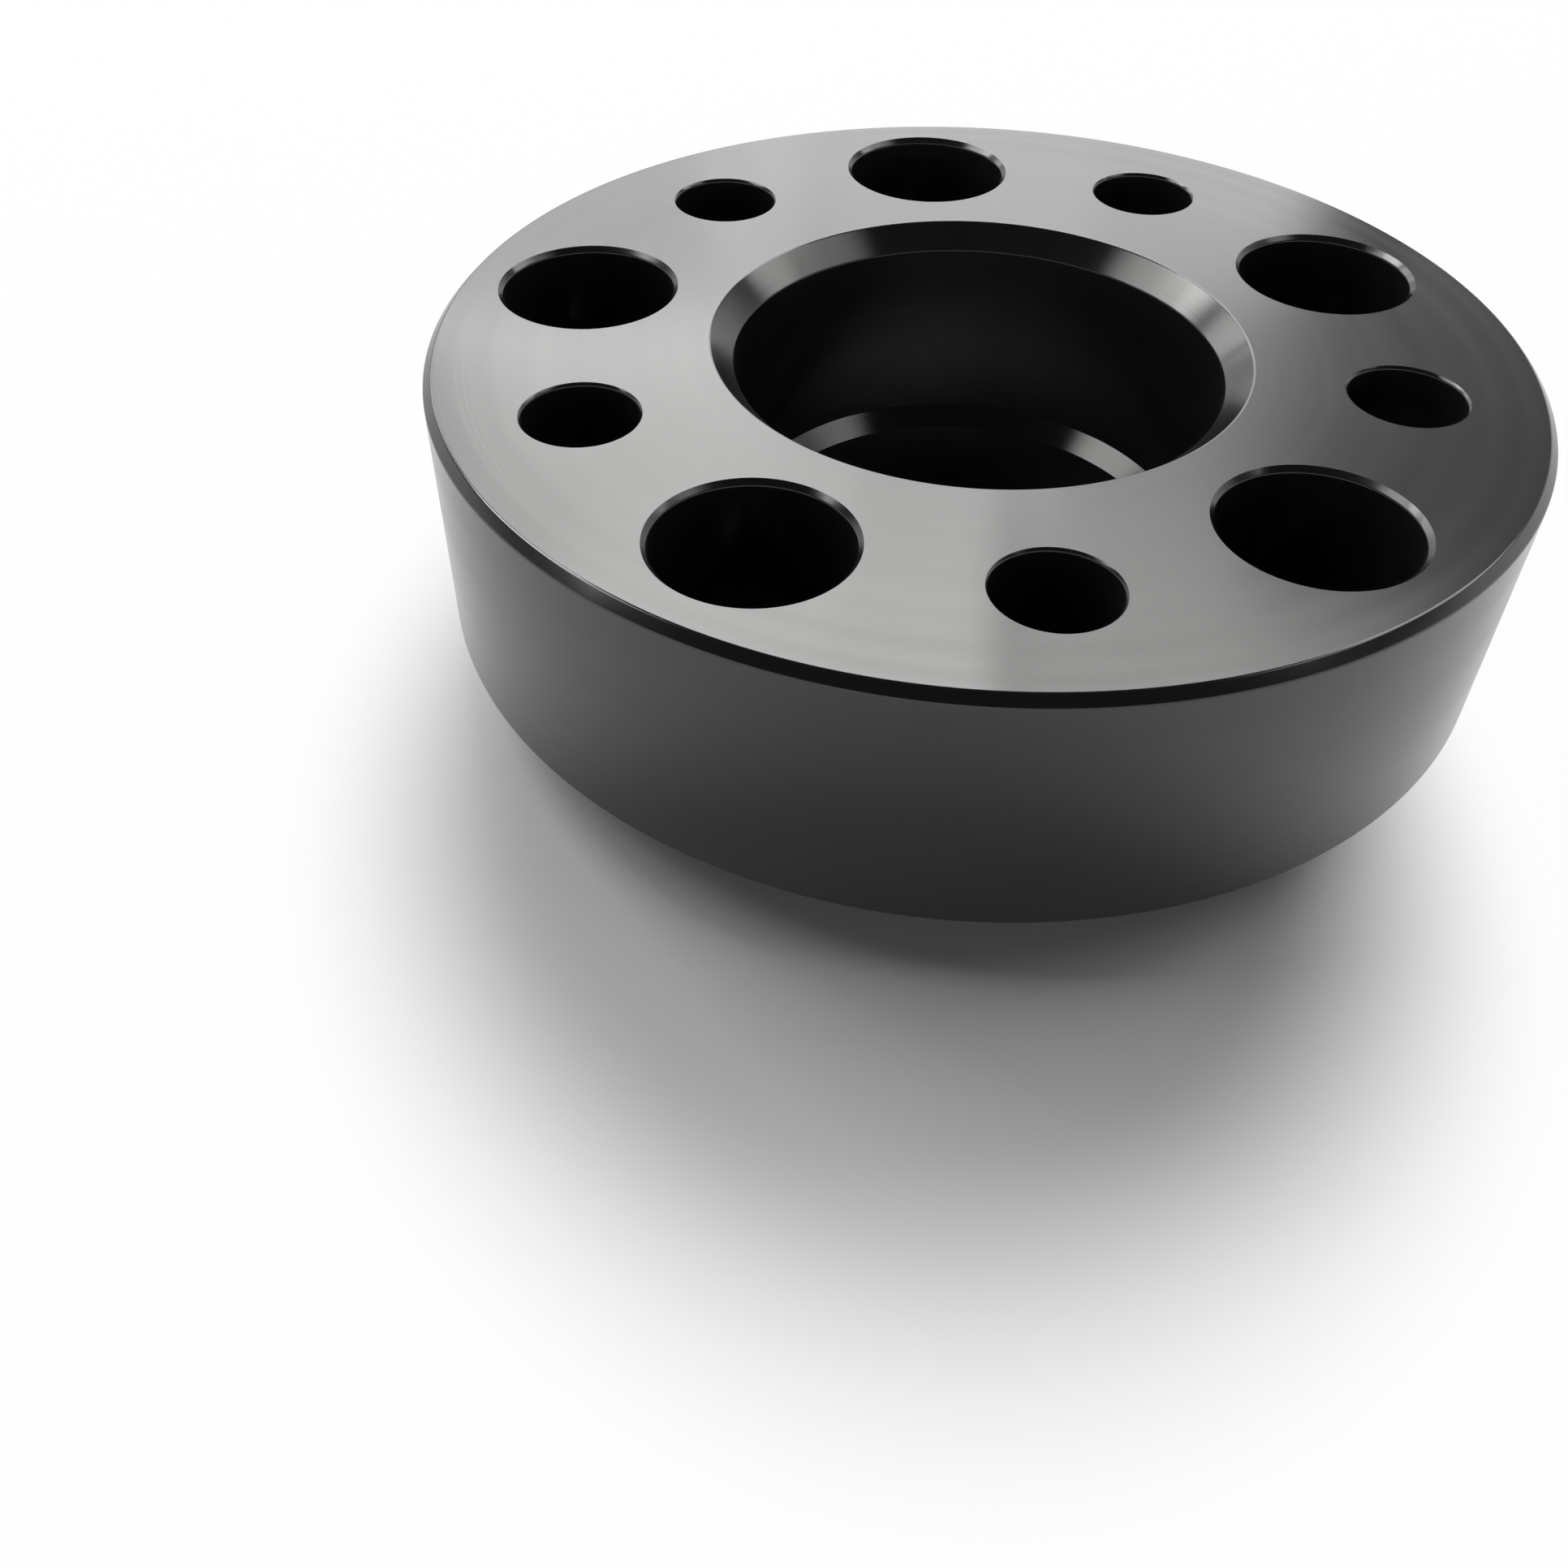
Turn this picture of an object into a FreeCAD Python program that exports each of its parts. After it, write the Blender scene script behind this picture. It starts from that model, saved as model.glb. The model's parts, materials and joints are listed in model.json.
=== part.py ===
"""Hub-centric wheel spacer, 35 mm thick, for a bolt circle of 5 x 112 mm.

The spacer is one piece of aluminium bar, turned, drilled, tapped and anodised.  It stands with its hub side
up: Z is the wheel's axis, and z = 0 is the end of the centring lip.  The hub face is the top of the disc and
the wheel face is its underside, around the lip.  Lengths are in millimetres and angles in degrees.
"""

import FreeCAD, Part
import Sketcher
import math
import os

# Driving sizes
SIZES = {
    # the disc
    "disc_diameter": 149.0,
    "disc_thickness": 35.0,
    "hub_rim_chamfer": 1.2,
    "wheel_rim_chamfer": 0.7,
    # the bore that seats on the hub, and the lip that carries the wheel
    "centring_diameter": 66.5,
    "centring_clearance": 0.1,
    "bore_depth": 29.5,
    "bore_lead_in": 3.2,
    "lip_height": 10.0,
    "lip_wall": 2.75,
    "lip_lead_in": 1.5,
    "lip_inner_chamfer": 0.5,
    "lip_root_radius": 0.8,
    # the bolts, all on one circle
    "bolt_circle_diameter": 112.0,
    "bolt_count": 5,
    "bolt_diameter": 14.0,
    "thread_pitch": 1.5,
    "bolt_clearance": 1.0,
    # the holes that bolt the spacer to the hub, each with a sunk cone seat
    "head_recess_diameter": 24.0,
    "head_recess_depth": 14.5,
    "head_recess_chamfer": 0.7,
    "seat_angle": 60.0,
    "hub_hole_chamfer": 0.35,
    # the tapped holes that take the wheel bolts, each behind a pocket
    "pocket_diameter": 24.0,
    "pocket_depth": 19.0,
    "pocket_chamfer": 0.7,
    "thread_chamfer": 1.2,
}

SHEET_NAME = "Sizes"
FULL_TURN = 360
MATCH_TOLERANCE = 0.001


class Size:
    """A size worked out from the driving ones: its value, and the same sum as a sheet expression."""

    def __init__(self, value, text):
        self.value = value
        self.text = text

    def _joined(self, sign, other, value):
        return Size(value, "({} {} {})".format(self.text, sign, as_size(other).text))

    def __add__(self, other):
        return self._joined("+", other, self.value + as_size(other).value)

    def __sub__(self, other):
        return self._joined("-", other, self.value - as_size(other).value)

    def __truediv__(self, other):
        return self._joined("/", other, self.value / as_size(other).value)


def as_size(number):
    if isinstance(number, Size):
        return number
    return Size(number, str(number))


def size(name):
    """The driving size of that name."""
    return Size(SIZES[name], SHEET_NAME + "." + name)


def tangent(angle):
    return Size(math.tan(math.radians(angle.value)), "tan({} * 1 deg)".format(angle.text))


# Radii about the wheel's axis
disc_radius = size("disc_diameter") / 2
lip_radius = size("centring_diameter") / 2
lip_bore_radius = lip_radius - size("lip_wall")
bore_radius = (size("centring_diameter") + size("centring_clearance")) / 2
bolt_circle_radius = size("bolt_circle_diameter") / 2

# Heights above the end of the lip
lip_end = Size(0.0, "0")
wheel_face = size("lip_height")
hub_face = wheel_face + size("disc_thickness")
cone_top = hub_face - size("bore_depth")
cone_bottom = cone_top - (bore_radius - lip_bore_radius)

# Radii about a bolt hole's own axis
hole_axis = Size(0.0, "0")
hub_hole_radius = (size("bolt_diameter") + size("bolt_clearance")) / 2
recess_radius = size("head_recess_diameter") / 2
pocket_radius = size("pocket_diameter") / 2
tapping_radius = (size("bolt_diameter") - size("thread_pitch")) / 2

# Heights inside the bolt holes
seat_mouth = wheel_face + size("head_recess_depth")
seat_end = seat_mouth + (recess_radius - hub_hole_radius) / tangent(size("seat_angle") / 2)
pocket_floor = hub_face - size("pocket_depth")

# Half sections, as corners of radius and height
TURNED_SECTION = [
    (lip_bore_radius, lip_end),
    (lip_radius, lip_end),
    (lip_radius, wheel_face),
    (disc_radius, wheel_face),
    (disc_radius, hub_face),
    (bore_radius, hub_face),
    (bore_radius, cone_top),
    (lip_bore_radius, cone_bottom),
]

HUB_HOLE_SECTION = [
    (hole_axis, wheel_face),
    (recess_radius + size("head_recess_chamfer"), wheel_face),
    (recess_radius, wheel_face + size("head_recess_chamfer")),
    (recess_radius, seat_mouth),
    (hub_hole_radius, seat_end),
    (hub_hole_radius, hub_face - size("hub_hole_chamfer")),
    (hub_hole_radius + size("hub_hole_chamfer"), hub_face),
    (hole_axis, hub_face),
]

TAPPED_HOLE_SECTION = [
    (hole_axis, wheel_face),
    (tapping_radius + size("thread_chamfer"), wheel_face),
    (tapping_radius, wheel_face + size("thread_chamfer")),
    (tapping_radius, pocket_floor - size("thread_chamfer")),
    (tapping_radius + size("thread_chamfer"), pocket_floor),
    (pocket_radius, pocket_floor),
    (pocket_radius, hub_face - size("pocket_chamfer")),
    (pocket_radius + size("pocket_chamfer"), hub_face),
    (hole_axis, hub_face),
]

# Edges of the turned blank that are broken, as circles of radius and height
HUB_RIM = [(disc_radius, hub_face)]
WHEEL_RIM = [(disc_radius, wheel_face)]
BORE_MOUTH = [(bore_radius, hub_face)]
LIP_END_OUTSIDE = [(lip_radius, lip_end)]
LIP_END_INSIDE = [(lip_bore_radius, lip_end)]
LIP_ROOT = [(lip_radius, wheel_face)]


def make_sheet(document):
    """A sheet with one named cell for each driving size."""
    sheet = document.addObject("Spreadsheet::Sheet", SHEET_NAME)
    for row, (name, value) in enumerate(SIZES.items(), start=1):
        cell = "A{}".format(row)
        sheet.set(cell, str(value))
        sheet.setAlias(cell, name)
    document.recompute()
    return sheet


def origin_feature(body, role):
    return next(feature for feature in body.Origin.OriginFeatures if feature.Role == role)


def draw_section(body, name, plane_role, corners, axis_distance=None):
    """A closed half section on one of the body's planes, every corner bound to the sheet.

    Where axis_distance is given, the radii are measured from a construction line at that distance from Z.
    """
    sketch = body.newObject("Sketcher::SketchObject", name)
    sketch.AttachmentSupport = [(origin_feature(body, plane_role), "")]
    sketch.MapMode = "FlatFace"
    places = corners
    if axis_distance is not None:
        places = [(axis_distance + radius, height) for radius, height in corners]
    points = [FreeCAD.Vector(across.value, up.value, 0) for across, up in places]
    count = len(points)
    for index, point in enumerate(points):
        sketch.addGeometry(Part.LineSegment(point, points[(index + 1) % count]), False)
    for index in range(count):
        sketch.addConstraint(Sketcher.Constraint("Coincident", index, 2, (index + 1) % count, 1))
    for index, (across, up) in enumerate(places):
        last_across, last_up = places[index - 1]
        tie(sketch, index, "Vertical", "DistanceX", across, last_across, count)
        tie(sketch, index, "Horizontal", "DistanceY", up, last_up, count)
    if axis_distance is not None:
        draw_axis(sketch, axis_distance, points[0].y, points[-1].y)
    return sketch


def tie(sketch, index, level, distance, place, last_place, count):
    """Hold a corner in line with the one before it, or at its own distance from the sketch's origin."""
    if place.text == last_place.text:
        sketch.addConstraint(Sketcher.Constraint(level, (index - 1) % count))
        return
    if place.value == 0:
        axis = -2 if distance == "DistanceX" else -1
        sketch.addConstraint(Sketcher.Constraint("PointOnObject", index, 1, axis))
        return
    number = sketch.addConstraint(Sketcher.Constraint(distance, -1, 1, index, 1, place.value))
    sketch.setExpression("Constraints[{}]".format(number), place.text)


def draw_axis(sketch, axis_distance, low, high):
    """An upright construction line for a hole's own axis, its ends level with the section's."""
    foot = FreeCAD.Vector(axis_distance.value, low, 0)
    head = FreeCAD.Vector(axis_distance.value, high, 0)
    line = sketch.addGeometry(Part.LineSegment(foot, head), True)
    last = line - 1
    sketch.addConstraint(Sketcher.Constraint("Coincident", line, 1, 0, 1))
    sketch.addConstraint(Sketcher.Constraint("Coincident", line, 2, last, 1))


def circular_edges(shape, circles):
    """Names of the edges that are full circles about Z with the given radii and heights."""
    names = []
    for index, edge in enumerate(shape.Edges, start=1):
        if not isinstance(edge.Curve, Part.Circle):
            continue
        centre = edge.Curve.Center
        for radius, height in circles:
            offsets = (edge.Curve.Radius - radius.value, centre.z - height.value, math.hypot(centre.x, centre.y))
            if max(abs(offset) for offset in offsets) < MATCH_TOLERANCE:
                names.append("Edge{}".format(index))
    if len(names) != len(circles):
        raise RuntimeError("expected {} circular edges, found {}".format(len(circles), len(names)))
    return names


def dress_edges(body, kind, name, circles, size_name):
    """A chamfer or fillet of a driving size on circular edges of what the body holds so far."""
    document = body.Document
    base = body.Tip
    dress = body.newObject("PartDesign::" + kind, name)
    dress.Base = (base, circular_edges(base.Shape, circles))
    dress.setExpression("Radius" if kind == "Fillet" else "Size", size(size_name).text)
    document.recompute()
    return dress


def turn_blank(body):
    """The disc with its stepped bore and lip, as it comes off the lathe."""
    section = draw_section(body, "TurnedSection", "XZ_Plane", TURNED_SECTION)
    blank = body.newObject("PartDesign::Revolution", "TurnedBlank")
    blank.Profile = section
    blank.ReferenceAxis = (section, ["V_Axis"])
    blank.Angle = FULL_TURN
    body.Document.recompute()
    dress_edges(body, "Fillet", "LipRoot", LIP_ROOT, "lip_root_radius")
    dress_edges(body, "Chamfer", "HubRimChamfer", HUB_RIM, "hub_rim_chamfer")
    dress_edges(body, "Chamfer", "WheelRimChamfer", WHEEL_RIM, "wheel_rim_chamfer")
    dress_edges(body, "Chamfer", "BoreLeadIn", BORE_MOUTH, "bore_lead_in")
    dress_edges(body, "Chamfer", "LipLeadIn", LIP_END_OUTSIDE, "lip_lead_in")
    dress_edges(body, "Chamfer", "LipInnerChamfer", LIP_END_INSIDE, "lip_inner_chamfer")


def drill_ring(body, name, corners, turn=None):
    """One stepped hole cut with a turned section, then repeated round the bolt circle."""
    document = body.Document
    volume_before = body.Tip.Shape.Volume
    section = draw_section(body, name + "Section", "YZ_Plane", corners, bolt_circle_radius)
    if turn is not None:
        section.AttachmentOffset = FreeCAD.Placement(
            FreeCAD.Vector(), FreeCAD.Rotation(FreeCAD.Vector(0, 1, 0), turn.value))
        section.setExpression("AttachmentOffset.Rotation.Angle", turn.text)
    hole = body.newObject("PartDesign::Groove", name)
    hole.Profile = section
    hole.ReferenceAxis = (section, ["Axis0"])
    hole.Angle = FULL_TURN
    document.recompute()
    if hole.Shape.Volume >= volume_before:
        raise RuntimeError(name + " cuts nothing")
    ring = body.newObject("PartDesign::PolarPattern", name + "Ring")
    ring.Originals = [hole]
    ring.Axis = (origin_feature(body, "Z_Axis"), [""])
    ring.Angle = FULL_TURN
    ring.setExpression("Occurrences", size("bolt_count").text)
    body.Tip = ring
    document.recompute()


def make_spacer(document):
    """The whole spacer, with a pocket of the wheel bolts on +Y and the hub bolts halfway between."""
    body = document.addObject("PartDesign::Body", "SpacerDisc")
    body.Label = "spacer_disc"
    turn_blank(body)
    drill_ring(body, "WheelBoltHole", TAPPED_HOLE_SECTION)
    drill_ring(body, "HubBoltHole", HUB_HOLE_SECTION, Size(FULL_TURN / 2, str(FULL_TURN / 2)) / size("bolt_count"))
    body.Placement = FreeCAD.Placement()
    document.recompute()
    return body


def check_document(document, parts):
    """Stop unless every object was computed and every part is one sound solid."""
    for item in document.Objects:
        if {"Invalid", "Error"} & set(item.State):
            raise RuntimeError("{} failed: {}".format(item.Name, item.State))
    for part in parts:
        if part.Shape.isNull() or not part.Shape.isValid():
            raise RuntimeError(part.Label + " has no valid shape")
        if len(part.Shape.Solids) != 1:
            raise RuntimeError("{} has {} solids".format(part.Label, len(part.Shape.Solids)))


def main():
    document = FreeCAD.newDocument("WheelSpacer")
    make_sheet(document)
    parts = [make_spacer(document)]
    check_document(document, parts)
    os.makedirs("parts", exist_ok=True)
    for part in parts:
        part.Shape.exportStep("parts/{}.step".format(part.Label))
        box = part.Shape.BoundBox
        print(part.Label, "volume {:.0f} mm3".format(part.Shape.Volume), box)


main()
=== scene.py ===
"""The look of the wheel spacer: one turned and drilled aluminium disc, anodised black.

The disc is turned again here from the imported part's own sizes, with its broken edges and its five screw
threads, and stands hub side up on the end of its lip.  Lengths are in metres, and those that are written in
millimetres are multiplied by MM.
"""

import json
import math

import bmesh
import bpy
from mathutils import Matrix, Vector


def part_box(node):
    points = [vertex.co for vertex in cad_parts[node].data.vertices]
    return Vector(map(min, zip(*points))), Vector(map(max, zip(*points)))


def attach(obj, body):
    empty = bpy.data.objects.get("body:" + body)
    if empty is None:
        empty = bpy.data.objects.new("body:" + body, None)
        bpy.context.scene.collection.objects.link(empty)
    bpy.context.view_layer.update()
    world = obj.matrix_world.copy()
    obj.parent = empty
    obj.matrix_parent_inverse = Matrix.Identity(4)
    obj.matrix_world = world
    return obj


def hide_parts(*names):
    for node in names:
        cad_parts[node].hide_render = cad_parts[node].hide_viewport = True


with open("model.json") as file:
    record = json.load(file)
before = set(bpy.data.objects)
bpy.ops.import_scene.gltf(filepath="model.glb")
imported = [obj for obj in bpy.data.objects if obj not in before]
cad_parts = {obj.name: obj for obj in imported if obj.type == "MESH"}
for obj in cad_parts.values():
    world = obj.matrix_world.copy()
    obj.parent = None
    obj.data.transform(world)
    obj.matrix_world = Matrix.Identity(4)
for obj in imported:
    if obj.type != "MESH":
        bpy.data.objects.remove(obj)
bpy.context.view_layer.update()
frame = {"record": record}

MM = 0.001
FULL_TURN = 2 * math.pi
UP = Vector((0, 0, 1))
NODE = "spacer_disc"

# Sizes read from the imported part
LOW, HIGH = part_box(NODE)
MOUNTS = {mount["name"]: mount for mount in frame["record"]["mounts"]}


def mount_size(name, size):
    return MOUNTS[name]["dims"][size] * MM


def mount_height(name):
    return MOUNTS[name]["pos_m"][2]


DISC_RADIUS = HIGH.x
HUB_FACE = mount_height("hub_face")
WHEEL_FACE = mount_height("wheel_face")
LIP_END = LOW.z
BORE_RADIUS = mount_size("hub_bore", "r_mm")
LIP_RADIUS = mount_size("wheel_spigot", "r_mm")
BOLT_COUNT = MOUNTS["hub_bolts"]["dims"]["count"]
BOLT_CIRCLE_RADIUS = mount_size("hub_bolts", "pcd_mm") / 2
HUB_HOLE_RADIUS = mount_size("hub_bolts", "hole_r_mm")
TAPPING_RADIUS = mount_size("wheel_bolts", "hole_r_mm")

# Sizes of the turned body
HUB_RIM_CHAMFER = 1.2 * MM
WHEEL_RIM_CHAMFER = 0.7 * MM
BORE_LEAD_IN = 3.2 * MM
BORE_DEPTH = 29.5 * MM
LIP_WALL = 2.75 * MM
LIP_LEAD_IN = 1.5 * MM
LIP_INNER_CHAMFER = 0.5 * MM
LIP_ROOT_RADIUS = 0.8 * MM
EDGE_BREAK = 0.2 * MM

# Sizes of the bolt holes
FIRST_WHEEL_BOLT = FULL_TURN / 4
RECESS_RADIUS = 12 * MM
RECESS_DEPTH = 14.5 * MM
RECESS_CHAMFER = 0.7 * MM
SEAT_HALF_ANGLE = math.radians(30)
HUB_HOLE_CHAMFER = 0.35 * MM
POCKET_RADIUS = 12 * MM
POCKET_DEPTH = 19 * MM
POCKET_CHAMFER = 0.7 * MM
THREAD_CHAMFER = 1.2 * MM
THREAD_RADIUS = 7 * MM
THREAD_PITCH = 1.5 * MM
THREAD_CREST = THREAD_PITCH / 8
THREAD_HALF_ANGLE = math.radians(30)

# How finely the round surfaces are drawn, and how closely points are joined
EDGE_SEGMENTS = 3
ROOT_SEGMENTS = 5
DISC_STEPS = 240
HOLE_STEPS = 72
THREAD_STEPS = 48
ROUND_PROFILE = 0.5
SAME_MATERIAL = -1
MERGE = 0.001 * MM
CUT_DISTANCE = MERGE / 10
SHARP_ANGLE = math.radians(32)
FLAT_FACE_WEIGHT = 100

# How far the drills and taps run past the faces they cut
CLEAR = 0.5 * MM
SPARE_TURNS = 2


# The disc

def make_object(name, bm):
    """An object at the origin that holds a finished bmesh."""
    mesh = bpy.data.meshes.new(name)
    bm.to_mesh(mesh)
    bm.free()
    piece = bpy.data.objects.new(name, mesh)
    bpy.context.scene.collection.objects.link(piece)
    return piece


def round_corners(bm, corners, radius, segments):
    bmesh.ops.bevel(bm, geom=corners, offset=radius, offset_type="OFFSET", segments=segments,
                    profile=ROUND_PROFILE, affect="VERTICES", material=SAME_MATERIAL, clamp_overlap=True)


def draw_profile(bm, points, closed):
    """A wire in the XZ plane through points of radius and height."""
    corners = [bm.verts.new((radius, 0, height)) for radius, height in points]
    pairs = list(zip(corners, corners[1:]))
    if closed:
        pairs.append((corners[-1], corners[0]))
    for pair in pairs:
        bm.edges.new(pair)
    return corners


def turn_profile(bm, steps):
    """The whole wire spun round Z into a closed skin with its faces outwards."""
    bmesh.ops.spin(bm, geom=bm.verts[:] + bm.edges[:], cent=(0, 0, 0), axis=UP, dvec=(0, 0, 0),
                   angle=FULL_TURN, steps=steps, use_merge=True, use_duplicate=False)
    bmesh.ops.remove_doubles(bm, verts=bm.verts, dist=MERGE)
    bmesh.ops.recalc_face_normals(bm, faces=bm.faces)


def turned_blank():
    """The disc with its stepped bore and its centring lip, its edges broken and the lip's root filleted."""
    lip_bore = LIP_RADIUS - LIP_WALL
    cone_top = HUB_FACE - BORE_DEPTH
    cone_bottom = cone_top - (BORE_RADIUS - lip_bore)
    lip_root = (LIP_RADIUS, WHEEL_FACE)
    points = [
        (lip_bore + LIP_INNER_CHAMFER, LIP_END),
        (LIP_RADIUS - LIP_LEAD_IN, LIP_END),
        (LIP_RADIUS, LIP_END + LIP_LEAD_IN),
        lip_root,
        (DISC_RADIUS - WHEEL_RIM_CHAMFER, WHEEL_FACE),
        (DISC_RADIUS, WHEEL_FACE + WHEEL_RIM_CHAMFER),
        (DISC_RADIUS, HUB_FACE - HUB_RIM_CHAMFER),
        (DISC_RADIUS - HUB_RIM_CHAMFER, HUB_FACE),
        (BORE_RADIUS + BORE_LEAD_IN, HUB_FACE),
        (BORE_RADIUS, HUB_FACE - BORE_LEAD_IN),
        (BORE_RADIUS, cone_top),
        (lip_bore, cone_bottom),
        (lip_bore, LIP_END + LIP_INNER_CHAMFER),
    ]
    bm = bmesh.new()
    corners = draw_profile(bm, points, closed=True)
    edges = [corner for corner, point in zip(corners, points) if point is not lip_root]
    round_corners(bm, edges, EDGE_BREAK, EDGE_SEGMENTS)
    root = Vector((LIP_RADIUS, 0, WHEEL_FACE))
    root_corner = min(bm.verts, key=lambda corner: (corner.co - root).length)
    round_corners(bm, [root_corner], LIP_ROOT_RADIUS, ROOT_SEGMENTS)
    turn_profile(bm, DISC_STEPS)
    return make_object("anodised_disc", bm)


def hub_hole_points():
    """Head recess from the wheel face, cone seat and plain hole through to the hub face."""
    seat_mouth = WHEEL_FACE + RECESS_DEPTH
    seat_end = seat_mouth + (RECESS_RADIUS - HUB_HOLE_RADIUS) / math.tan(SEAT_HALF_ANGLE)
    return [
        (0, WHEEL_FACE - CLEAR),
        (RECESS_RADIUS + RECESS_CHAMFER + CLEAR, WHEEL_FACE - CLEAR),
        (RECESS_RADIUS, WHEEL_FACE + RECESS_CHAMFER),
        (RECESS_RADIUS, seat_mouth),
        (HUB_HOLE_RADIUS, seat_end),
        (HUB_HOLE_RADIUS, HUB_FACE - HUB_HOLE_CHAMFER),
        (HUB_HOLE_RADIUS + HUB_HOLE_CHAMFER + CLEAR, HUB_FACE + CLEAR),
        (0, HUB_FACE + CLEAR),
    ]


def tapped_hole_points():
    """Tapping hole from the wheel face, countersunk at both ends, and the pocket behind it."""
    floor = HUB_FACE - POCKET_DEPTH
    return [
        (0, WHEEL_FACE - CLEAR),
        (TAPPING_RADIUS + THREAD_CHAMFER + CLEAR, WHEEL_FACE - CLEAR),
        (TAPPING_RADIUS, WHEEL_FACE + THREAD_CHAMFER),
        (TAPPING_RADIUS, floor - THREAD_CHAMFER),
        (TAPPING_RADIUS + THREAD_CHAMFER, floor),
        (POCKET_RADIUS, floor),
        (POCKET_RADIUS, HUB_FACE - POCKET_CHAMFER),
        (POCKET_RADIUS + POCKET_CHAMFER + CLEAR, HUB_FACE + CLEAR),
        (0, HUB_FACE + CLEAR),
    ]


# Which of those points, counted from 0, are broken edges
HUB_HOLE_EDGES = (2, 3, 4, 5)
TAPPED_HOLE_EDGES = (2, 3, 6)


def place_cutter(name, bm, azimuth):
    """The finished cutter, moved out to its place on the bolt circle."""
    place = Matrix.Rotation(azimuth, 4, UP) @ Matrix.Translation((BOLT_CIRCLE_RADIUS, 0, 0))
    bmesh.ops.transform(bm, matrix=place, verts=bm.verts)
    return make_object(name, bm)


def hole_cutter(name, points, edges, azimuth):
    """A stepped drill with the shape of the hole that it leaves, its broken edges rounded."""
    bm = bmesh.new()
    corners = draw_profile(bm, points, closed=False)
    round_corners(bm, [corners[index] for index in edges], EDGE_BREAK, EDGE_SEGMENTS)
    turn_profile(bm, HOLE_STEPS)
    return place_cutter(name, bm, azimuth)


def thread_cutter(name, azimuth):
    """A threaded rod as long as the tapped hole: one pitch of the thread wound up and cut off square."""
    bottom = WHEEL_FACE - CLEAR
    top = HUB_FACE - POCKET_DEPTH + CLEAR
    core = TAPPING_RADIUS - EDGE_BREAK
    flank = (THREAD_RADIUS - core) * math.tan(THREAD_HALF_ANGLE)
    turns = math.ceil((top - bottom) / THREAD_PITCH) + SPARE_TURNS
    start = bottom - THREAD_PITCH
    one_pitch = [
        (core, start),
        (THREAD_RADIUS, start + flank),
        (THREAD_RADIUS, start + flank + THREAD_CREST),
        (core, start + 2 * flank + THREAD_CREST),
        (core, start + THREAD_PITCH),
    ]
    bm = bmesh.new()
    draw_profile(bm, one_pitch, closed=False)
    bmesh.ops.spin(bm, geom=bm.verts[:] + bm.edges[:], cent=(0, 0, 0), axis=UP,
                   dvec=(0, 0, THREAD_PITCH / THREAD_STEPS), angle=FULL_TURN * turns,
                   steps=THREAD_STEPS * turns, use_merge=False, use_duplicate=False)
    bmesh.ops.remove_doubles(bm, verts=bm.verts, dist=MERGE)
    for height, outside in ((top, UP), (bottom, -UP)):
        cut = bmesh.ops.bisect_plane(bm, geom=bm.verts[:] + bm.edges[:] + bm.faces[:], dist=CUT_DISTANCE,
                                     plane_co=UP * height, plane_no=outside, clear_outer=True)
        rim = [item for item in cut["geom_cut"] if isinstance(item, bmesh.types.BMEdge)]
        bmesh.ops.contextual_create(bm, geom=rim)
    bmesh.ops.recalc_face_normals(bm, faces=bm.faces)
    return place_cutter(name, bm, azimuth)


def cut_away(piece, cutters):
    """Take each cutter out of the piece, and use the cutters up."""
    for cutter in cutters:
        cut = piece.modifiers.new(cutter.name, "BOOLEAN")
        cut.operation = "DIFFERENCE"
        cut.solver = "EXACT"
        cut.object = cutter
    graph = bpy.context.evaluated_depsgraph_get()
    mesh = bpy.data.meshes.new_from_object(piece.evaluated_get(graph))
    piece.modifiers.clear()
    piece.data = mesh
    for cutter in cutters:
        bpy.data.objects.remove(cutter)


def shade_turned(piece):
    """Round surfaces shaded smooth and flat ones flat, with a clean line at every chamfer."""
    for face in piece.data.polygons:
        face.use_smooth = True
    piece.data.set_sharp_from_angle(angle=SHARP_ANGLE)
    even = piece.modifiers.new("even_shading", "WEIGHTED_NORMAL")
    even.keep_sharp = True
    even.weight = FLAT_FACE_WEIGHT


def machined_disc():
    """The finished disc: turned, then drilled and tapped round the bolt circle."""
    disc = turned_blank()
    tapped_hole = tapped_hole_points()
    hub_hole = hub_hole_points()
    cutters = []
    for index in range(BOLT_COUNT):
        number = str(index)
        wheel_bolt = FIRST_WHEEL_BOLT + FULL_TURN * index / BOLT_COUNT
        hub_bolt = wheel_bolt + FULL_TURN / BOLT_COUNT / 2
        cutters.append(hole_cutter("tapped_hole_" + number, tapped_hole, TAPPED_HOLE_EDGES, wheel_bolt))
        cutters.append(hole_cutter("hub_hole_" + number, hub_hole, HUB_HOLE_EDGES, hub_bolt))
        cutters.append(thread_cutter("thread_" + number, wheel_bolt))
    cut_away(disc, cutters)
    shade_turned(disc)
    return disc


# The finish

# The marks of the lathe, in marks per metre, and how much of the height counts with the radius
LINES_PER_METRE = 1500.0
LINE_DETAIL = 3.0
BANDS_PER_METRE = 260.0
BAND_DETAIL = 1.0
PATCHES_PER_METRE = 18.0
PATCH_DETAIL = 2.0
HEIGHT_SHARE = 0.62
LINE_STRENGTH = 0.2
LINE_RELIEF = 0.02 * MM

# The values that a noise seldom leaves
NOISE_LOW = 0.25
NOISE_HIGH = 0.75

# The anodised skin: its dye, its sealed surface and how glossy that is
DYE_COOL = (0.0050, 0.0050, 0.0056, 1)
DYE_WARM = (0.0078, 0.0072, 0.0066, 1)
SKIN_IOR = 1.6
SKIN_TINT = (1.0, 1.0, 0.975, 1)
BAND_ROUGHNESS = (0.17, 0.20)
PATCH_ROUGHNESS = (-0.02, 0.02)
GLOSS_STRETCH = 0.8
GLOSS_QUARTER_TURN = 0.25


def link(tree, output, target):
    tree.links.new(output, target)


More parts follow.
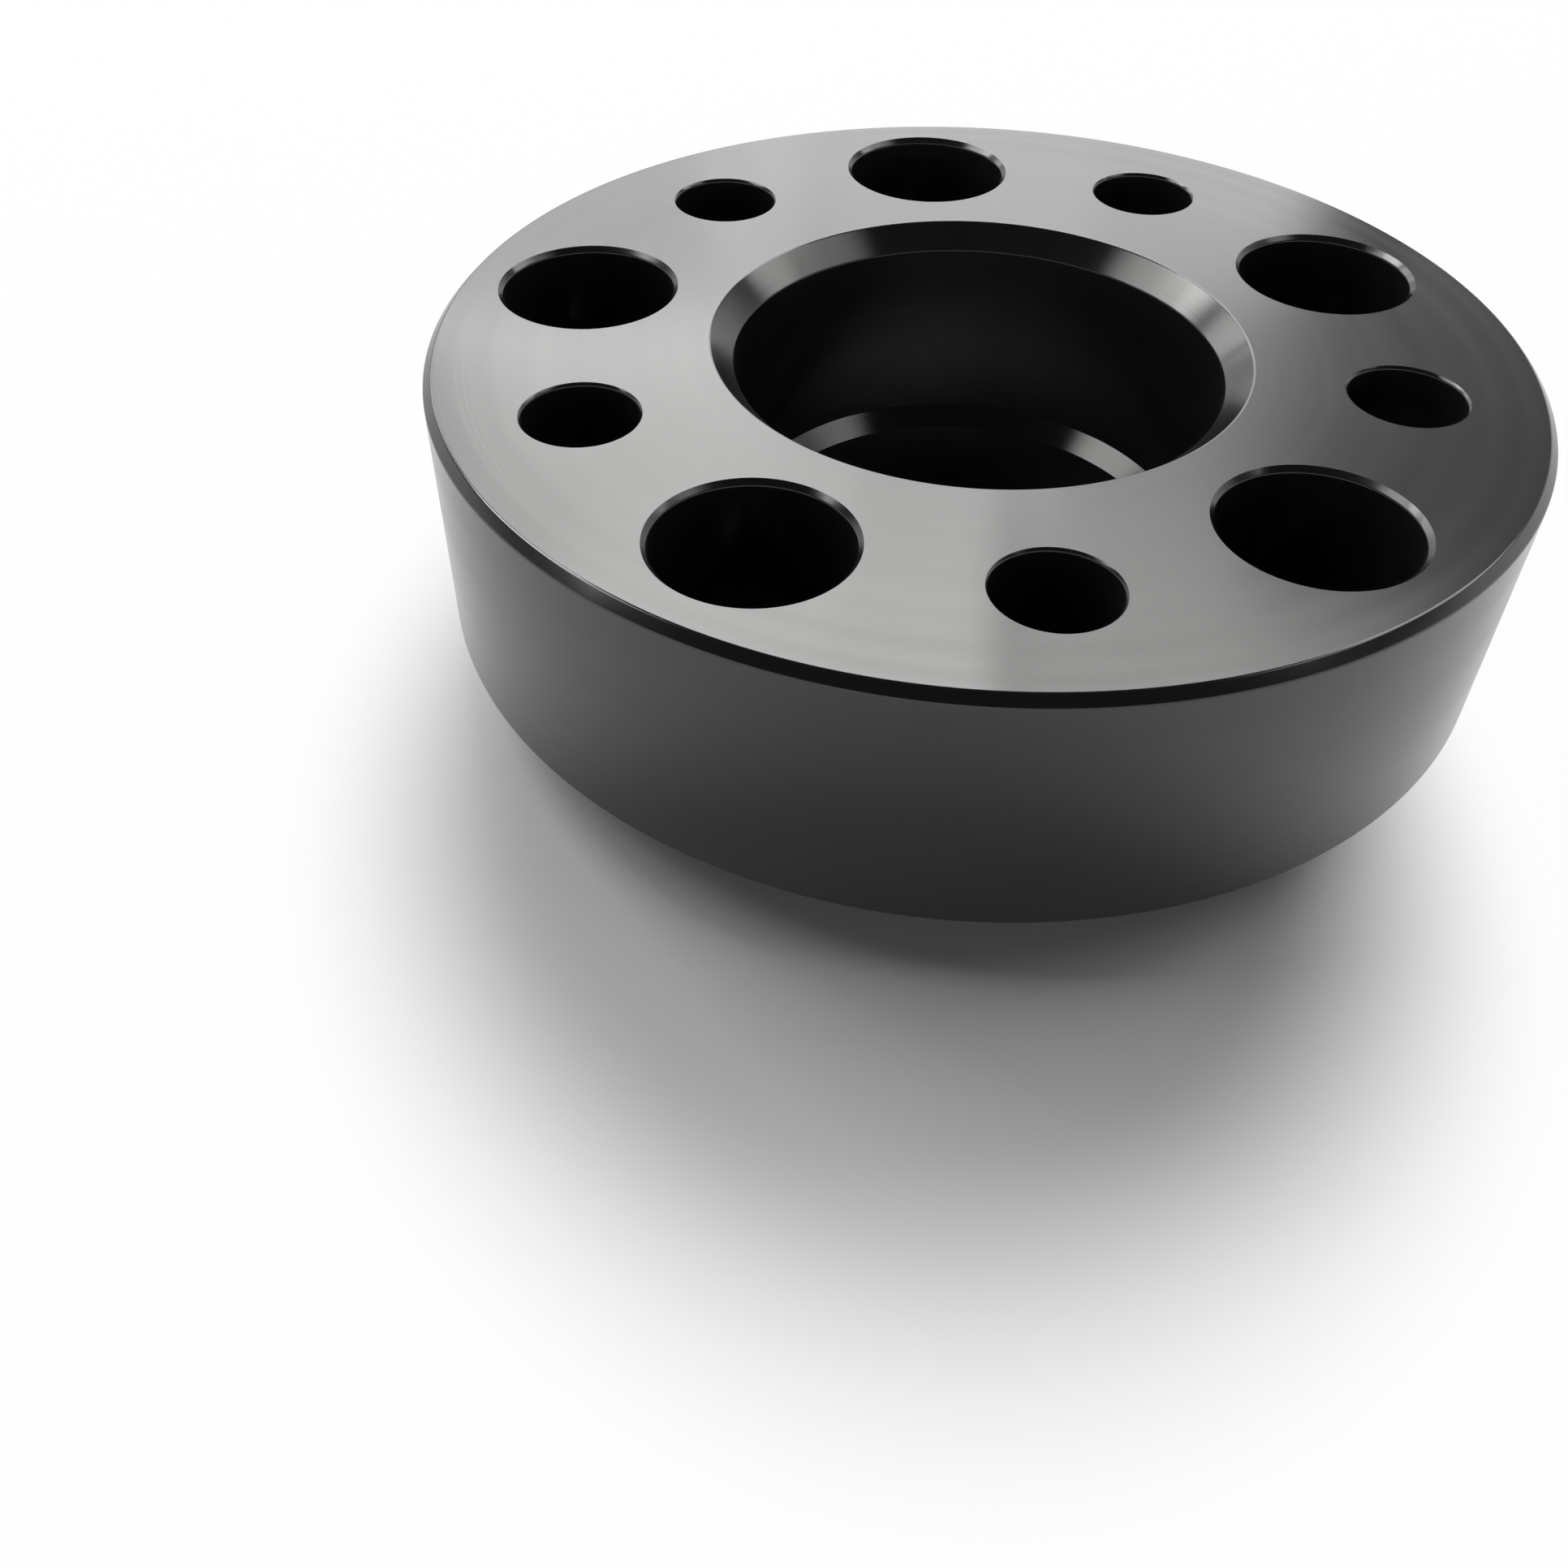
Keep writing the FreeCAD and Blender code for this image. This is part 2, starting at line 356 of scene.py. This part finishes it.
def add_node(tree, kind, **settings):
    node = tree.nodes.new(kind)
    for name, value in settings.items():
        setattr(node, name, value)
    return node


def turning_marks_group():
    """Rings left by the lathe, round Z on faces and walls alike: fine feed lines, and broad faint bands."""
    group = bpy.data.node_groups.new("turning_marks", "ShaderNodeTree")
    sockets = group.interface
    sockets.new_socket("Vector", in_out="INPUT", socket_type="NodeSocketVector")
    for name in ("Line Scale", "Band Scale"):
        sockets.new_socket(name, in_out="INPUT", socket_type="NodeSocketFloat")
    for name in ("Lines", "Bands", "Patches"):
        sockets.new_socket(name, in_out="OUTPUT", socket_type="NodeSocketFloat")
    inside = add_node(group, "NodeGroupInput")
    out = add_node(group, "NodeGroupOutput")
    split = add_node(group, "ShaderNodeSeparateXYZ")
    link(group, inside.outputs["Vector"], split.inputs[0])
    flat = add_node(group, "ShaderNodeCombineXYZ")
    link(group, split.outputs["X"], flat.inputs["X"])
    link(group, split.outputs["Y"], flat.inputs["Y"])
    radius = add_node(group, "ShaderNodeVectorMath", operation="LENGTH")
    link(group, flat.outputs[0], radius.inputs[0])

    # Radius plus part of the height changes across every turned surface, flat, round or sloping
    across = add_node(group, "ShaderNodeMath", operation="MULTIPLY_ADD")
    across.inputs[1].default_value = HEIGHT_SHARE
    link(group, split.outputs["Z"], across.inputs[0])
    link(group, radius.outputs["Value"], across.inputs[2])
    for name, scale, detail in (("Lines", "Line Scale", LINE_DETAIL), ("Bands", "Band Scale", BAND_DETAIL)):
        rings = add_node(group, "ShaderNodeTexNoise", noise_dimensions="1D")
        rings.inputs["Detail"].default_value = detail
        link(group, across.outputs[0], rings.inputs["W"])
        link(group, inside.outputs[scale], rings.inputs["Scale"])
        link(group, rings.outputs["Fac"], out.inputs[name])

    patches = add_node(group, "ShaderNodeTexNoise", noise_dimensions="3D")
    patches.inputs["Scale"].default_value = PATCHES_PER_METRE
    patches.inputs["Detail"].default_value = PATCH_DETAIL
    link(group, inside.outputs["Vector"], patches.inputs["Vector"])
    link(group, patches.outputs["Fac"], out.inputs["Patches"])
    return group


def spread(tree, noise, low, high):
    """A noise stretched until it runs from one value to the other."""
    stretch = add_node(tree, "ShaderNodeMapRange")
    stretch.inputs["From Min"].default_value = NOISE_LOW
    stretch.inputs["From Max"].default_value = NOISE_HIGH
    stretch.inputs["To Min"].default_value = low
    stretch.inputs["To Max"].default_value = high
    link(tree, noise, stretch.inputs["Value"])
    return stretch.outputs["Result"]


def black_anodised():
    """Deep black anodised aluminium, with a satin gloss that the turning marks draw out across them."""
    material = bpy.data.materials.new("black_anodised")
    material.use_nodes = True
    tree = material.node_tree
    skin = tree.nodes["Principled BSDF"]
    skin.inputs["IOR"].default_value = SKIN_IOR
    skin.inputs["Specular Tint"].default_value = SKIN_TINT
    skin.inputs["Anisotropic"].default_value = GLOSS_STRETCH
    skin.inputs["Anisotropic Rotation"].default_value = GLOSS_QUARTER_TURN
    places = add_node(tree, "ShaderNodeTexCoord")
    marks = add_node(tree, "ShaderNodeGroup", node_tree=turning_marks_group())
    marks.inputs["Line Scale"].default_value = LINES_PER_METRE
    marks.inputs["Band Scale"].default_value = BANDS_PER_METRE
    link(tree, places.outputs["Object"], marks.inputs["Vector"])

    dye = add_node(tree, "ShaderNodeMix", data_type="RGBA")
    dye.inputs["A"].default_value = DYE_COOL
    dye.inputs["B"].default_value = DYE_WARM
    link(tree, marks.outputs["Patches"], dye.inputs["Factor"])
    link(tree, dye.outputs["Result"], skin.inputs["Base Color"])

    gloss = add_node(tree, "ShaderNodeMath", operation="ADD")
    link(tree, spread(tree, marks.outputs["Bands"], *BAND_ROUGHNESS), gloss.inputs[0])
    link(tree, spread(tree, marks.outputs["Patches"], *PATCH_ROUGHNESS), gloss.inputs[1])
    link(tree, gloss.outputs[0], skin.inputs["Roughness"])

    feed_lines = add_node(tree, "ShaderNodeBump")
    feed_lines.inputs["Strength"].default_value = LINE_STRENGTH
    feed_lines.inputs["Distance"].default_value = LINE_RELIEF
    link(tree, marks.outputs["Lines"], feed_lines.inputs["Height"])
    link(tree, feed_lines.outputs["Normal"], skin.inputs["Normal"])

    round_z = add_node(tree, "ShaderNodeTangent", direction_type="RADIAL", axis="Z")
    link(tree, round_z.outputs["Tangent"], skin.inputs["Tangent"])
    return material


# The stage

# The floor: pale paper in an oval round the shadow, which turns to a white glow beyond it.  The glow is
# painted light, an emission that the camera and the disc's gloss see; the oval is set round the disc, not
# cast, so its edge is a painted shadow edge and the floor that the wall reflects stays dark.  The glow
# starts and is full at these multiples of the oval's half width and half depth.
FLOOR_SIZE = 3.0
FLOOR_PAPER = (0.6, 0.6, 0.6, 1)
FLOOR_ROUGHNESS = 0.9
FLOOR_GLOW = 0.97
WHITE = (1, 1, 1, 1)
SHADOW_MIDDLE = (-12 * MM, -30 * MM, 0)
SHADOW_REACH = (50 * MM, 66 * MM, 1)
GLOW_START = 1.0
GLOW_END = 1.7

# The lamps: name, azimuths and elevations that each fills, in degrees, and how bright it looks
BOX_DISTANCE = 1.4
SOFT_BOXES = (
    ("high_back", (75, 105), (38, 52), 7.4),
    ("high_back_right", (35, 75), (38, 52), 5.0),
    ("middle_back_left", (85, 105), (26, 38), 5.2),
    ("middle_back", (74, 85), (26, 38), 3.7),
    ("middle_back_right", (64, 74), (26, 38), 2.0),
    ("low_back_left", (90, 112), (14, 26), 2.1),
    ("low_back_right", (65, 90), (14, 26), 2.9),
    ("middle_left", (112, 130), (17, 33), 4.0),
    ("high_left", (125, 150), (33, 52), 10.0),
    ("far_left", (150, 185), (34, 54), 5.2),
    ("high_right", (8, 34), (28, 50), 3.8),
    ("far_right", (-28, 8), (38, 54), 2.3),
    ("dim_right", (0, 62), (18, 38), 0.3),
)

# The room: white walls up to one elevation, and a dark ceiling from another
WALL_TOP = math.sin(math.radians(13))
CEILING = math.sin(math.radians(24))
WALL_GREY = 1.0
CEILING_GREY = 0.04


def background_rays(tree):
    """1 for rays that show the background: the camera's own, and those that gloss or glass sends on."""
    path = add_node(tree, "ShaderNodeLightPath")
    either = add_node(tree, "ShaderNodeMath", operation="MAXIMUM")
    link(tree, path.outputs["Is Camera Ray"], either.inputs[0])
    link(tree, path.outputs["Is Glossy Ray"], either.inputs[1])
    shown = add_node(tree, "ShaderNodeMath", operation="MAXIMUM")
    link(tree, either.outputs[0], shown.inputs[0])
    link(tree, path.outputs["Is Transmission Ray"], shown.inputs[1])
    return shown.outputs[0]


def floor_paper():
    """Pale paper that keeps the lamps' shade in a set oval round the disc, with a painted white glow beyond
    it.
    """
    material = bpy.data.materials.new("pale_floor")
    material.use_nodes = True
    tree = material.node_tree
    paper = tree.nodes["Principled BSDF"]
    paper.inputs["Base Color"].default_value = FLOOR_PAPER
    paper.inputs["Roughness"].default_value = FLOOR_ROUGHNESS
    # Painted light: the white glow is an emission, not lamp light falling on the paper
    glow = add_node(tree, "ShaderNodeEmission")
    glow.inputs["Color"].default_value = WHITE

    places = add_node(tree, "ShaderNodeTexCoord")
    around = add_node(tree, "ShaderNodeMapping", vector_type="TEXTURE")
    around.inputs["Location"].default_value = SHADOW_MIDDLE
    around.inputs["Scale"].default_value = SHADOW_REACH
    link(tree, places.outputs["Object"], around.inputs["Vector"])
    distance = add_node(tree, "ShaderNodeVectorMath", operation="LENGTH")
    link(tree, around.outputs["Vector"], distance.inputs[0])
    # The painted glow fades in from the oval's edge, which sets where the painted shadow ends
    fade = add_node(tree, "ShaderNodeMapRange", interpolation_type="SMOOTHSTEP")
    fade.inputs["From Min"].default_value = GLOW_START
    fade.inputs["From Max"].default_value = GLOW_END
    fade.inputs["To Max"].default_value = FLOOR_GLOW
    link(tree, distance.outputs["Value"], fade.inputs["Value"])

    share = add_node(tree, "ShaderNodeMath", operation="MULTIPLY")
    link(tree, background_rays(tree), share.inputs[0])
    link(tree, fade.outputs["Result"], share.inputs[1])
    mix = add_node(tree, "ShaderNodeMixShader")
    link(tree, share.outputs[0], mix.inputs["Fac"])
    link(tree, paper.outputs[0], mix.inputs[1])
    link(tree, glow.outputs[0], mix.inputs[2])
    link(tree, mix.outputs[0], tree.nodes["Material Output"].inputs["Surface"])
    return material


def pale_floor():
    bm = bmesh.new()
    bmesh.ops.create_grid(bm, x_segments=1, y_segments=1, size=FLOOR_SIZE / 2)
    bmesh.ops.translate(bm, verts=bm.verts, vec=UP * LIP_END)
    floor = make_object("pale_floor", bm)
    floor.data.materials.append(floor_paper())


def direction(azimuth, elevation):
    """A unit vector towards an azimuth and an elevation in degrees; azimuth 90 is behind the disc."""
    turn = math.radians(azimuth)
    rise = math.radians(elevation)
    return Vector((math.cos(rise) * math.cos(turn), math.cos(rise) * math.sin(turn), math.sin(rise)))


def soft_box(name, azimuths, elevations, radiance):
    """A soft box that faces the disc and fills the given angles, in degrees, as the disc sees them.

    Radiance is how bright the box's front looks, with white as 1.
    """
    azimuth = sum(azimuths) / 2
    elevation = sum(elevations) / 2
    half_width = math.radians(azimuths[1] - azimuths[0]) / 2
    half_height = math.radians(elevations[1] - elevations[0]) / 2
    lamp = bpy.data.lights.new(name, "AREA")
    lamp.shape = "RECTANGLE"
    lamp.size = 2 * BOX_DISTANCE * math.tan(half_width) * math.cos(math.radians(elevation))
    lamp.size_y = 2 * BOX_DISTANCE * math.tan(half_height)
    lamp.energy = radiance * math.pi * lamp.size * lamp.size_y
    holder = bpy.data.objects.new(name, lamp)
    away = direction(azimuth, elevation)
    aim = away.to_track_quat("Z", "Y").to_matrix().to_4x4()
    holder.matrix_world = Matrix.Translation(UP * HUB_FACE + away * BOX_DISTANCE) @ aim
    bpy.context.scene.collection.objects.link(holder)


def soft_studio():
    """Soft boxes in a room with white walls, which darken to an unlit ceiling."""
    for box in SOFT_BOXES:
        soft_box(*box)
    world = bpy.data.worlds.new("soft_studio")
    bpy.context.scene.world = world
    world.use_nodes = True
    tree = world.node_tree
    ways = add_node(tree, "ShaderNodeTexCoord")
    split = add_node(tree, "ShaderNodeSeparateXYZ")
    link(tree, ways.outputs["Generated"], split.inputs[0])
    fade = add_node(tree, "ShaderNodeMapRange", interpolation_type="SMOOTHSTEP")
    fade.inputs["From Min"].default_value = WALL_TOP
    fade.inputs["From Max"].default_value = CEILING
    fade.inputs["To Min"].default_value = WALL_GREY
    fade.inputs["To Max"].default_value = CEILING_GREY
    link(tree, split.outputs["Z"], fade.inputs["Value"])
    link(tree, fade.outputs["Result"], tree.nodes["Background"].inputs["Color"])


# The camera

EYE = Vector((-39.21, -189.03, 146.65)) * MM
LOOK_AT = Vector((-31.71, -85.05, 45.0)) * MM
CAMERA_ROLL = math.radians(0.916)
LENS = 35.24
SENSOR = 36.0
CLIP_START = 1 * MM


def place_camera():
    """The camera at the photograph's viewing angle."""
    view = bpy.data.cameras.new("photo_view")
    view.sensor_fit = "HORIZONTAL"
    view.sensor_width = SENSOR
    view.lens = LENS
    view.clip_start = CLIP_START
    camera = bpy.data.objects.new("photo_view", view)
    aim = (LOOK_AT - EYE).to_track_quat("-Z", "Y").to_matrix().to_4x4()
    camera.matrix_world = Matrix.Translation(EYE) @ aim @ Matrix.Rotation(CAMERA_ROLL, 4, "Z")
    bpy.context.scene.collection.objects.link(camera)
    bpy.context.scene.camera = camera


# The whole scene

disc = machined_disc()
disc.data.materials.clear()
disc.data.materials.append(black_anodised())
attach(disc, "root")
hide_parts(NODE)

pale_floor()
soft_studio()
place_camera()
bpy.context.scene.view_settings.view_transform = "Standard"
